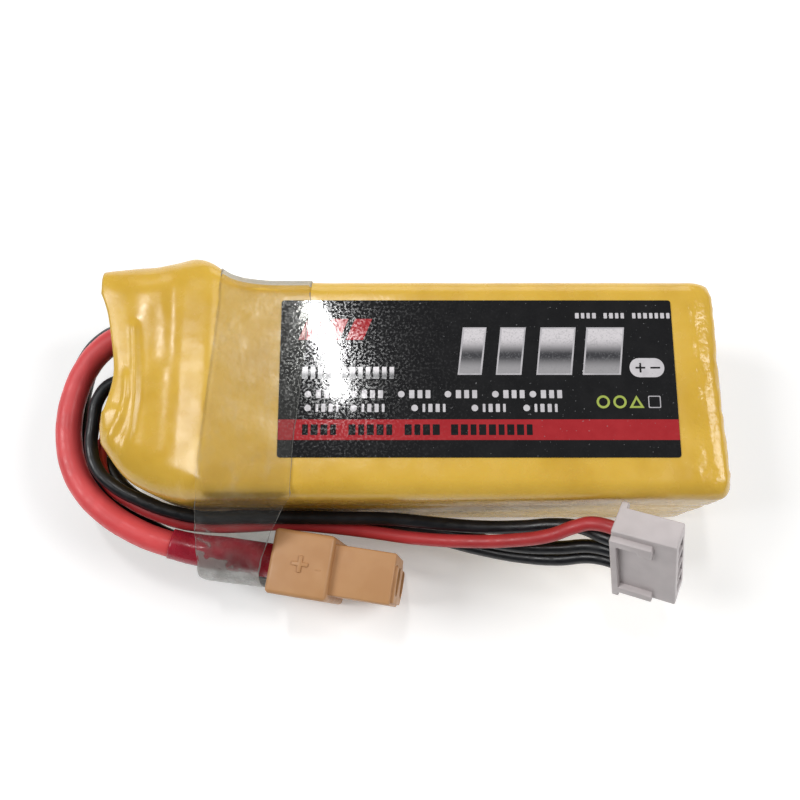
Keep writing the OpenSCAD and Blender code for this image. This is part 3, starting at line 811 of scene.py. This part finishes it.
def body_rings():
    """Rings of the wrap from the mouth to the closed end's edge, closest at both ends."""
    stations = [MOUTH_X + 0.3 * i for i in range(48)]
    stations += [-22.4 + 0.6 * i for i in range(20)]
    stations += [-10.4 + 0.9 * i for i in range(48)]
    stations += [CLOSED_X - 6.0 + 0.2 * i for i in range(21)]
    rings = []
    for x in stations:
        reach = clamp((TIGHT_X - x) / (TIGHT_X - MOUTH_X))
        ring = []
        for y, z in section_ring(*wrap_section(x)):
            ring.append(Vector((TIGHT_X + (cut_edge_x(y, z) - TIGHT_X) * reach if reach else x, y, z)))
        rings.append(ring)
    return rings


def end_rings():
    """Rings of the wrap round the closed end's edge, and in over the pad to the ragged lip."""
    section = wrap_section(CLOSED_X)
    _, _, low, high, radius = section
    turns = 9
    rings = []
    for i in range(1, turns + 1):
        a = math.radians(90 * i / turns)
        inset = END_ROUND * (1 - math.cos(a))
        x = CLOSED_X - END_ROUND + END_ROUND * math.sin(a)
        rings.append([Vector((x, y, z)) for y, z in inset_ring(section, inset, max(radius - 0.3 * inset, 1))])
    centre = Vector((0, 0, (low + high) / 2))
    lip_rings = 8
    for i in range(1, lip_rings + 1):
        share = i / lip_rings
        ring = []
        for y, z in inset_ring(section, END_ROUND + i * 0.36, 1.3):
            ragged = (0.5 * rough(0, y, z, 2.0, 3.0) + 0.25 * rough(0, y, z, 0.8, 1.0)) * share
            inward = (centre - Vector((0, y, z))).normalized()
            pucker = 0.12 * share * (rough(0, y, z, 1.1, 5.0) - 0.6)
            ring.append(Vector((CLOSED_X + pucker, y, z)) + ragged * inward)
        rings.append(ring)
    return rings


def add_wrap():
    bm, _ = loft(body_rings() + end_rings())
    bmesh.ops.recalc_face_normals(bm, faces=bm.faces)
    bm.normal_update()
    moves = []
    for vert in bm.verts:
        moves.append(vert.normal * wrap_relief(vert.co, vert.normal))
    for vert, move in zip(bm.verts, moves):
        vert.co += move
        vert.co.x = min(vert.co.x, CLOSED_X + 0.4)
        vert.co.x += end_lean(*vert.co)
        vert.co.z = max(vert.co.z, 0.01)
    obj = make_object("wrap", mesh_from(bm, "wrap"), wrap_film(), smooth=75)
    thicken(obj, WRAP_T)
    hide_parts("shrink_wrap")
    return obj


# ---- Label and its print ----

def rounded_outline(u0, u1, v0, v1, radius, arc=6):
    """Corner points of a rounded rectangle on the label, u to the right and v down from its top left."""
    points = []
    for u, v, start in ((u1 - radius, v1 - radius, 0), (u0 + radius, v1 - radius, 90),
                        (u0 + radius, v0 + radius, 180), (u1 - radius, v0 + radius, 270)):
        for i in range(arc + 1):
            a = math.radians(start + 90 * i / arc)
            points.append((u + radius * math.cos(a), v + radius * math.sin(a)))
    return points


def disc_outline(u, v, radius):
    sides = 28
    angles = [2 * math.pi * k / sides for k in range(sides)]
    return [(u + radius * math.cos(a), v + radius * math.sin(a)) for a in angles]


def add_plate(bm, outline, z0, z1, material_index):
    """A thin closed plate on the label from an outline in u and v."""
    rows = []
    for z in (z0, z1):
        rows.append([bm.verts.new((label_low.x + u, label_high.y - v, z)) for u, v in outline])
    faces = [bm.faces.new(rows[0]), bm.faces.new(rows[1][::-1])]
    for k in range(len(outline)):
        m = (k + 1) % len(outline)
        faces.append(bm.faces.new((rows[0][k], rows[1][k], rows[1][m], rows[0][m])))
    for face in faces:
        face.material_index = material_index


INK = 0.012              # thickness of a layer of print
BLACK, RED, SILVER, WHITE, GREEN, BADGE, LINE = range(7)
GAUGE_TOP = 3.5          # v of the gauge's top edge
GAUGE_H = 6.0
UNEVEN = (0.78, 1.12, 0.94, 1.2, 0.6, 1.36)


def slanted(u, width, inset):
    """A block of the gauge, leaning to the right and pulled in by inset on every side."""
    lean = 0.12 * GAUGE_H
    top = GAUGE_TOP + inset
    bottom = GAUGE_TOP + GAUGE_H - inset
    left = u + inset
    right = u + width - inset
    return [(left + lean, top), (right + lean, top), (right, bottom), (left, bottom)]


def bar_row(u, v, count, width, height, gap, ink, skip=()):
    """A row of small bars of uneven widths, where a line of writing would be, less those in skip."""
    plates = []
    for k in range(count):
        bar = width * UNEVEN[(k * k + 3 * k + count) % len(UNEVEN)]
        if k not in skip:
            plates.append((rounded_outline(u, u + bar, v, v + height, 0.06, 2), 1, ink))
        u += bar + gap
    return plates


def dotted_row(places, v, count):
    """A dot and a few bars at each place along a row."""
    plates = []
    for u in places:
        plates.append((disc_outline(u, v, 0.4), 0, WHITE))
        plates += bar_row(u + 0.95, v - 0.5, count, 0.52, 1.0, 0.38, WHITE)
    return plates


def label_plates():
    """Every printed mark on the label: its outline, its layer and its ink."""
    plates = [(rounded_outline(0.02, LABEL_W - 0.02, 15.0, 17.5, 0.02, 1), 0, RED)]
    for u in (2.7, 5.6, 8.5):
        plates.append(([(u + 0.55, 2.4), (u + 2.65, 2.4), (u + 1.55, 5.1), (u - 0.55, 5.1)], 0, RED))
    for u, width in ((21.5, 2.9), (26.1, 3.1), (31.0, 4.3), (36.6, 4.6)):
        plates.append((slanted(u, width, 0.0), 0, LINE))
        plates.append((slanted(u, width, 0.2), 1, SILVER))
    # the pill with its plus and minus
    plates.append((rounded_outline(42.3, 46.5, 7.4, 9.8, 1.18), 0, WHITE))
    plates.append((rounded_outline(43.0, 44.2, 8.5, 8.72, 0.08, 3), 1, BLACK))
    plates.append((rounded_outline(43.49, 43.71, 8.01, 9.21, 0.08, 3), 2, BLACK))
    plates.append((rounded_outline(44.8, 46.0, 8.5, 8.72, 0.08, 3), 1, BLACK))
    # rows of bars
    plates += bar_row(2.7, 8.5, 12, 0.92, 1.5, 0.35, BADGE, skip=(4,))
    plates += bar_row(36.0, 1.65, 17, 0.34, 0.7, 0.27, WHITE, skip=(4, 9))
    plates += bar_row(2.9, 15.6, 25, 0.62, 1.3, 0.32, BLACK, skip=(4, 10, 15))
    plates += dotted_row((3.5, 9.0, 14.7, 20.3, 26.0, 30.5), 11.9, 3)
    plates += dotted_row((3.5, 9.0, 16.3, 23.5, 29.7), 13.6, 4)
    # two rings, a triangle and a square
    for u in (38.9, 40.9):
        plates.append((disc_outline(u, 12.85, 0.8), 0, GREEN))
        plates.append((disc_outline(u, 12.85, 0.52), 1, BLACK))
    plates.append(([(42.0, 13.6), (42.9, 12.05), (43.8, 13.6)], 0, GREEN))
    plates.append(([(42.45, 13.36), (42.9, 12.55), (43.35, 13.36)], 1, BLACK))
    plates.append((rounded_outline(44.3, 45.8, 12.1, 13.6, 0.15, 3), 0, LINE))
    plates.append((rounded_outline(44.42, 45.68, 12.22, 13.48, 0.1, 3), 1, BLACK))
    return plates


def add_label():
    z = label_high.z
    bm = bmesh.new()
    add_plate(bm, rounded_outline(0, LABEL_W, 0, LABEL_H, 0.35), label_low.z + 0.01, z, 0)
    black = print_ink("label_black", (0.011, 0.011, 0.012), (0.015, 0.015, 0.016), 0.09)
    label = make_object("label_film", mesh_from(bm, "label_film"), black)
    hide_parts("label")
    bm = bmesh.new()
    for outline, layer, ink in label_plates():
        add_plate(bm, outline, z + 0.002, z + (layer + 1) * INK, ink)
    gauge_top = label_high.y - GAUGE_TOP
    inks = [
        black,
        print_ink("label_red", (0.36, 0.022, 0.028), (0.40, 0.028, 0.034)),
        silver_ink("label_silver", gauge_top, gauge_top - GAUGE_H),
        print_ink("label_white", (0.60, 0.58, 0.60), (0.50, 0.48, 0.50)),
        print_ink("label_green", (0.38, 0.46, 0.10), (0.32, 0.40, 0.08)),
        silver_ink("label_badge", label_high.y - 8.3, label_high.y - 10.6),
        print_ink("label_line", (0.52, 0.50, 0.52), (0.40, 0.39, 0.41)),
    ]
    marks = make_object("label_marks", mesh_from(bm, "label_marks"), *inks)
    return [label, marks]


# ---- Clear tape ----

TAPE_T = 0.04            # thickness of the film
TAPE_BACK = (-22.3, -11.0)


def tape_loop():
    """The tape's way round the pack and the leads.

    Each row has the left x, the right x, y, z and how far the film may crumple there.
    """
    side = BACK_Y + 0.1
    top = BODY_TOP + 0.17
    up_the_back = [
        (0, 0.07, 0), (side - 2.3, 0.07, 0), (side - 0.6, 0.65, 0), (side, 2.3, 0.02), (side, 11.5, 0.05),
        (side, BODY_TOP - 2.3, 0.02), (side - 0.6, BODY_TOP - 0.5, 0.01), (side - 2.4, BODY_TOP + 0.12, 0.02),
        (11.0, top, 0.02),
    ]
    over_the_top = [
        (-22.7, -11.5, 6.0, top, 0.03), (-23.2, -12.0, 0, top, 0.03), (-23.7, -12.6, -6.0, top, 0.03),
        (-24.0, -12.9, -11.4, top, 0.02), (-24.1, -13.0, -12.9, BODY_TOP - 0.45, 0.04),
    ]
    round_the_leads = [
        (-24.5, -14.4, -14.9, 20.6, 0.25), (-24.9, -16.0, -17.4, 17.8, 0.4),
        (-25.2, -17.4, -20.0, 14.6, 0.35), (-25.4, -17.6, -21.5, 12.4, 0.25),
        (-25.4, -17.6, -21.9, 8.6, 0.4), (-25.4, -17.5, -21.7, 4.6, 0.3),
        (-25.2, -16.5, -20.0, 1.7, 0.15), (-24.6, -14.6, -16.5, 0.8, 0.1), (-24.2, -13.4, -12.9, 0.3, 0.02),
    ]
    underneath = [(-24.0, -13.0, -11.6, 0.07, 0), (-23.2, -12.0, -6.0, 0.07, 0)]
    return [(*TAPE_BACK, *row) for row in up_the_back] + over_the_top + round_the_leads + underneath


def add_tape():
    loop = tape_loop()
    left = through([(a, y, z) for a, b, y, z, c in loop], 7, closed=True)
    right = through([(b, y - 0.95 * step(-y, 16, 21), z) for a, b, y, z, c in loop], 7, closed=True)
    loose = [v.x for v in through([(c, 0, 0) for *_, c in loop], 7, closed=True)]
    columns = 30
    rings = []
    for k in range(columns + 1):
        share = k / columns
        ring = []
        for a, b in zip(left, right):
            ragged = 0.12 * rough(0, a.y, a.z, 1.3, 11.0) if k in (0, columns) else 0.0
            place = a.lerp(b, share)
            flare = (wrap_section(place.x)[1] - BACK_Y) * step(place.y, 10.5, 13.2)
            ring.append(place + Vector((ragged, flare, 0)))
        rings.append(ring)
    bm, rows = loft(rings)
    bmesh.ops.recalc_face_normals(bm, faces=bm.faces)
    bm.normal_update()
    moves = {}
    for row in rows:
        for vert, amount in zip(row, loose):
            x, y, z = vert.co
            crumple = abs(rough(x, 0.6 * y, 0.6 * z, 1.7, 12.0)) + 0.5 * abs(rough(x, y, z, 0.7, 13.0))
            moves[vert] = vert.normal * max(amount, 0) * crumple * 0.5
    for vert, move in moves.items():
        vert.co += move
        vert.co.z = max(vert.co.z, 0.06)
    obj = make_object("tape", mesh_from(bm, "tape"), clear_tape_film(), smooth=70)
    thicken(obj, TAPE_T)
    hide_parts("clear_tape")
    return obj


# ---- Power connector ----

CONNECTOR_L = 15.4       # along its own X, without the raised face of the nose
CONNECTOR_T = 8.0        # thickness, along its own Y
CONNECTOR_W = 16.0       # width across the two poles, along its own Z
BLOCK_L = 7.7            # length of the thick rear half
NOSE_T = 6.3
NOSE_W = 13.6
POLE = 3.6               # distance of each pole from the middle
SOCKET_SINK = 0.8        # how far the sockets' ends lie behind the nose's face


def add_power_connector():
    plus = Vector(mounts["positive_socket"]["pos_m"]) / MM
    minus = Vector(mounts["negative_socket"]["pos_m"]) / MM
    along = Vector(mounts["positive_socket"]["axis"])
    origin = (plus + minus) / 2 - along * (CONNECTOR_L - SOCKET_SINK)
    place = placed(origin, along, plus - minus)
    t = NOSE_T / 2
    w = NOSE_W / 2
    nose = [(t, w), (-t, w), (-t, 1.8 - w), (1.8 - t, -w), (t - 1.8, -w), (t, 1.8 - w)]
    key = [(t - 1.5, w - 0.5), (0.3 - t, w - 0.5), (0.3 - t, 2.1 - w), (2.1 - t, 0.4 - w), (t - 1.8, 0.4 - w),
           (t - 1.5, 2.1 - w)]
    half_t = CONNECTOR_T / 2
    half_w = CONNECTOR_W / 2
    middle = BLOCK_L / 2
    added = [
        rounded_box((0, -half_t, -half_w), (BLOCK_L, half_t, half_w), 0.55, 4),
        rounded_prism(nose, BLOCK_L - 1, CONNECTOR_L - 0.02, 0.22),
        rounded_prism(key, CONNECTOR_L - 1, CONNECTOR_L + 0.35, 0.1, 2),
        # a raised plus, and a short bar beside it
        rounded_box((middle - 1.05, -0.27, 7.5), (middle + 1.05, 0.27, 8.2), 0.14, 2),
        rounded_box((middle - 0.26, -1.06, 7.5), (middle + 0.26, 1.06, 8.21), 0.14, 2),
        rounded_box((middle + 2.0, -0.5, 7.6), (middle + 2.7, -0.3, 8.05), 0.05, 1),
    ]
    cut = []
    for z in (-POLE, POLE):
        cut.append(rod(-1, CONNECTOR_L - SOCKET_SINK, 0, z, 4.34))
        cut.append(rod(-1, CONNECTOR_L + 1, 0, z, 3.9))
    obj = combined("power_connector", added, cut, TAN, place)
    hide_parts("power_connector_housing")
    return obj


# ---- Balance plug ----

PLUG_L = 7.6             # along its own X
PLUG_T = 3.7             # thickness, along its own Y
PLUG_W = 12.4            # width across the four cavities, along its own Z
PLUG_ROLL = -23          # degrees about its own X
PIN_PITCH = 2.5


def add_balance_plug():
    face = mounts["balance_plug_face"]
    along = Vector(face["axis"])
    origin = Vector(face["pos_m"]) / MM - along * PLUG_L
    yaw = math.atan2(along.y, along.x)
    pitch = math.asin(along.z)
    turn = (Matrix.Rotation(yaw, 4, "Z") @ Matrix.Rotation(-pitch, 4, "Y")
            @ Matrix.Rotation(math.radians(PLUG_ROLL), 4, "X"))
    place = Matrix.Translation(origin * MM) @ turn
    t = PLUG_T / 2
    w = PLUG_W / 2
    side = -t - 0.8          # the face of the two guide rails and the latch
    ear = [(t - 0.4, w - 2.2), (t + 1.1, w - 1.4), (t + 1.15, w - 0.5), (t + 0.7, w), (t - 0.4, w)]
    added = [
        rounded_box((0, -t, -w), (PLUG_L, t, w), 0.2, 3),
        rounded_box((0, side, -w - 0.5), (0.85, t - 0.3, w - 0.9), 0.16, 3),
        rounded_prism(ear, 0.02, 0.82, 0.12, 2),
        rounded_box((0.3, side, w - 2.1), (PLUG_L * 0.65, -t + 0.5, w - 0.9), 0.18, 3),
        rounded_box((PLUG_L * 0.42, side - 0.02, w - 2.75), (PLUG_L * 0.66, -t + 0.5, w - 1.1), 0.3, 3),
        rounded_box((0.3, side, -w + 0.3), (PLUG_L * 0.65, -t + 0.5, -w + 1.5), 0.18, 3),
    ]
    cut = []
    for k in range(4):
        z = PIN_PITCH * (k - 1.5)
        cut.append(rounded_box((-1, -1, z - 1), (PLUG_L + 1, 1, z + 1), 0.06, 1))
    obj = combined("balance_plug", added, cut, WHITE_NYLON, place)
    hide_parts("balance_plug_housing")
    return obj


# ---- Assembly ----

wrap = add_wrap()
label_pieces = add_label()
tape = add_tape()
power_connector = add_power_connector()
balance_plug = add_balance_plug()

sleeve_red = add_sleeve("sleeve_red", SLEEVE_POSITIVE, RED_SLEEVE)
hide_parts("heat_shrink_positive")
sleeve_black = add_sleeve("sleeve_black", SLEEVE_NEGATIVE, BLACK_SLEEVE)
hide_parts("heat_shrink_negative")

nodes = frame["nodes"]
power_ends = [
    power_connector, sleeve_red, sleeve_black, nodes["power_contact_positive"],
    nodes["power_contact_negative"], nodes["cup_solder_joints"],
]
plug_ends = [balance_plug, *(nodes[f"balance_contact_{k}"] for k in range(1, 5))]

# Cords: name, route, material, the CAD node and the slot
LEADS = [
    ("lead_red", LEAD_POSITIVE, RED_SILICONE, "discharge_lead_positive", "silicone_red"),
    ("lead_black", LEAD_NEGATIVE, BLACK_SILICONE, "discharge_lead_negative", "silicone_black"),
]
WIRES = [
    ("wire_red", WIRE_POSITIVE, RED_WIRE, "balance_wire_positive", "wire_red"),
    ("wire_black_2", WIRE_TAP_2, BLACK_WIRE, "balance_wire_tap_2", "wire_black"),
    ("wire_black_1", WIRE_TAP_1, BLACK_WIRE, "balance_wire_tap_1", "wire_black"),
    ("wire_black_0", WIRE_NEGATIVE, BLACK_WIRE, "balance_wire_negative", "wire_black"),
]
cords = []
for rows, diameter, far_end, pieces in (
    (LEADS, LEAD_D, "connector", power_ends),
    (WIRES, WIRE_D, "plug", plug_ends),
):
    for name, route, material, node, slot in rows:
        cord = add_cord(name, route, diameter, material)
        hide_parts(node)
        cords.append(cord)

for piece in (wrap, *label_pieces, tape, power_connector, balance_plug, sleeve_red, sleeve_black, *cords):
    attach(piece, "root")

# Materials of the CAD nodes that stay, by a part of the node's name
CAD_LOOKS = {
    "_pouch": foil_pouch(),
    "_electrode_stack": electrode_layers(),
    "_tab_positive": metal("aluminium_tab", (0.80, 0.81, 0.83), 0.25, (6, 1, 1)),
    "_tab_negative": metal("nickel_tab", (0.62, 0.60, 0.56), 0.3),
    "adhesive_pad_": fibre("adhesive_sheet", (0.62, 0.62, 0.57), (0.50, 0.50, 0.46), (3, 3, 1)),
    "cell_binding_tape": amber_tape(),
    "insulation_card": fibre("fibre_card", (0.56, 0.53, 0.38), (0.45, 0.42, 0.30), (1, 4, 1)),
    "tab_board": solder_mask(),
    "solder_joints": SOLDER,
    "end_pad": fibre("fibre_pad", (0.035, 0.035, 0.04), (0.06, 0.06, 0.065), (1, 3, 1)),
    "power_contact_": GOLD,
    "balance_contact_": TIN,
}
for name, node in nodes.items():
    for part, material in CAD_LOOKS.items():
        if part in name:
            node.data.materials.clear()
            node.data.materials.append(material)
